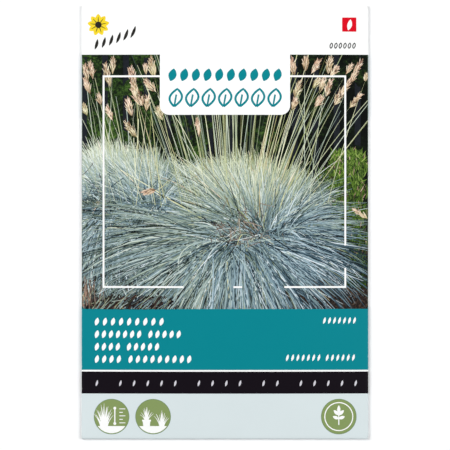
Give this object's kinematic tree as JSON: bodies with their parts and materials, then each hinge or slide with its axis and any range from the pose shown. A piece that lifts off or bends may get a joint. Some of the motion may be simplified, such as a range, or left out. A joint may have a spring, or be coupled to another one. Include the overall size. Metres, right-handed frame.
{
  "type": "seed packet",
  "caption": "Flat sealed paper seed packet with a printed picture of tufted grass, folded from one sheet, with loose seeds inside.",
  "frame": {"origin": "under the middle of the packet, on the surface that it lies on", "axes": "+X towards the right-hand side of the printed front, +Y towards the head of the packet, +Z out of the printed front"},
  "size_m": [0.082, 0.124, 0.0026],
  "materials": {
    "printed_paper": "coated paper with a satin print",
    "seed_husk": "dry matt husk"
  },
  "bodies": {
    "root": {"envelope": "printed_paper", "seed_01": "seed_husk", "seed_02": "seed_husk", "seed_03": "seed_husk", "seed_04": "seed_husk", "seed_05": "seed_husk", "seed_06": "seed_husk", "seed_07": "seed_husk", "seed_08": "seed_husk", "seed_09": "seed_husk", "seed_10": "seed_husk", "seed_11": "seed_husk", "seed_12": "seed_husk", "seed_13": "seed_husk", "seed_14": "seed_husk", "seed_15": "seed_husk", "seed_16": "seed_husk", "seed_17": "seed_husk", "seed_18": "seed_husk", "seed_19": "seed_husk", "seed_20": "seed_husk", "seed_21": "seed_husk", "seed_22": "seed_husk", "seed_23": "seed_husk", "seed_24": "seed_husk", "seed_25": "seed_husk", "seed_26": "seed_husk", "seed_27": "seed_husk", "seed_28": "seed_husk", "seed_29": "seed_husk", "seed_30": "seed_husk", "seed_31": "seed_husk", "seed_32": "seed_husk", "seed_33": "seed_husk", "seed_34": "seed_husk", "seed_35": "seed_husk", "seed_36": "seed_husk"}
  },
  "joints": []
}
